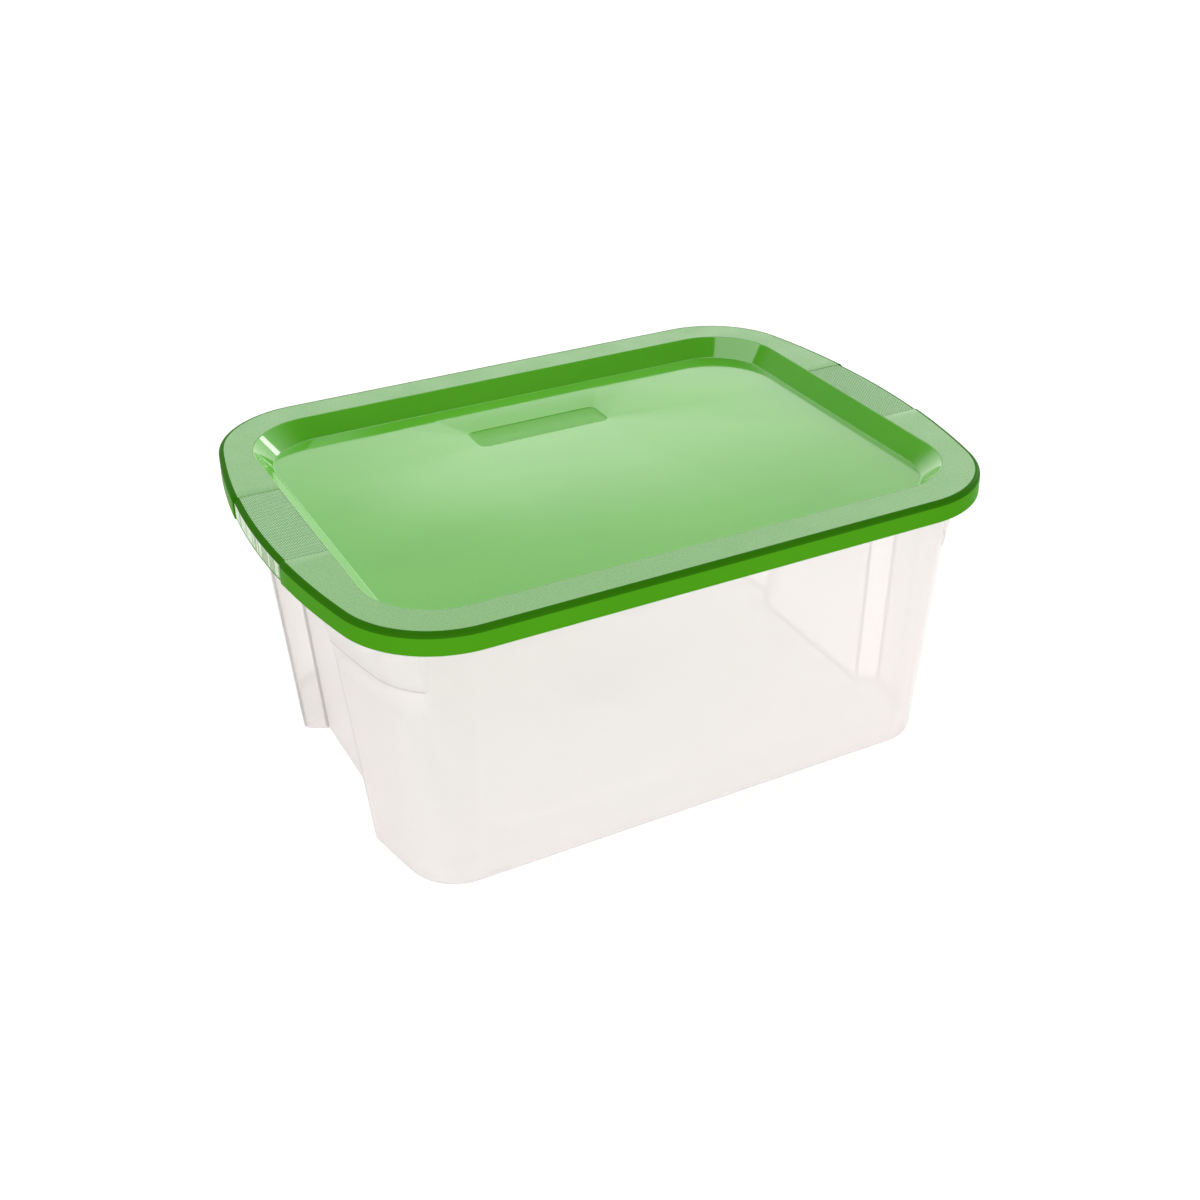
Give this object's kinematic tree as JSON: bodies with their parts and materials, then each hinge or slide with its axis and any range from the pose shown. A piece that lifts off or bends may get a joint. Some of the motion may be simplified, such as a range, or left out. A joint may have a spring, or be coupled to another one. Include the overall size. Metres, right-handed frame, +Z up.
{
  "type": "snap lid food container",
  "caption": "Translucent rectangular plastic storage tub with tapered walls, end hand grips and a green snap lid with a recessed top panel.",
  "frame": {"origin": "middle of the base, on the surface the tub stands on", "axes": "+X along the long side, +Y towards the side the badge field is nearer to, +Z up"},
  "size_m": [0.3984, 0.294, 0.172],
  "materials": {
    "clear_tub": "translucent natural polypropylene, smooth",
    "green_lid": "opaque green, glossy panel and skirt, fine matte grain on the rim"
  },
  "bodies": {
    "tub": {"tub": "clear_tub"},
    "lid": {"lid": "green_lid"}
  },
  "joints": [
    {"name": "lid_lift", "type": "slide", "parent": "tub", "child": "lid", "axis": [0, 0, 1], "range_m": [0, 0.12]}
  ]
}
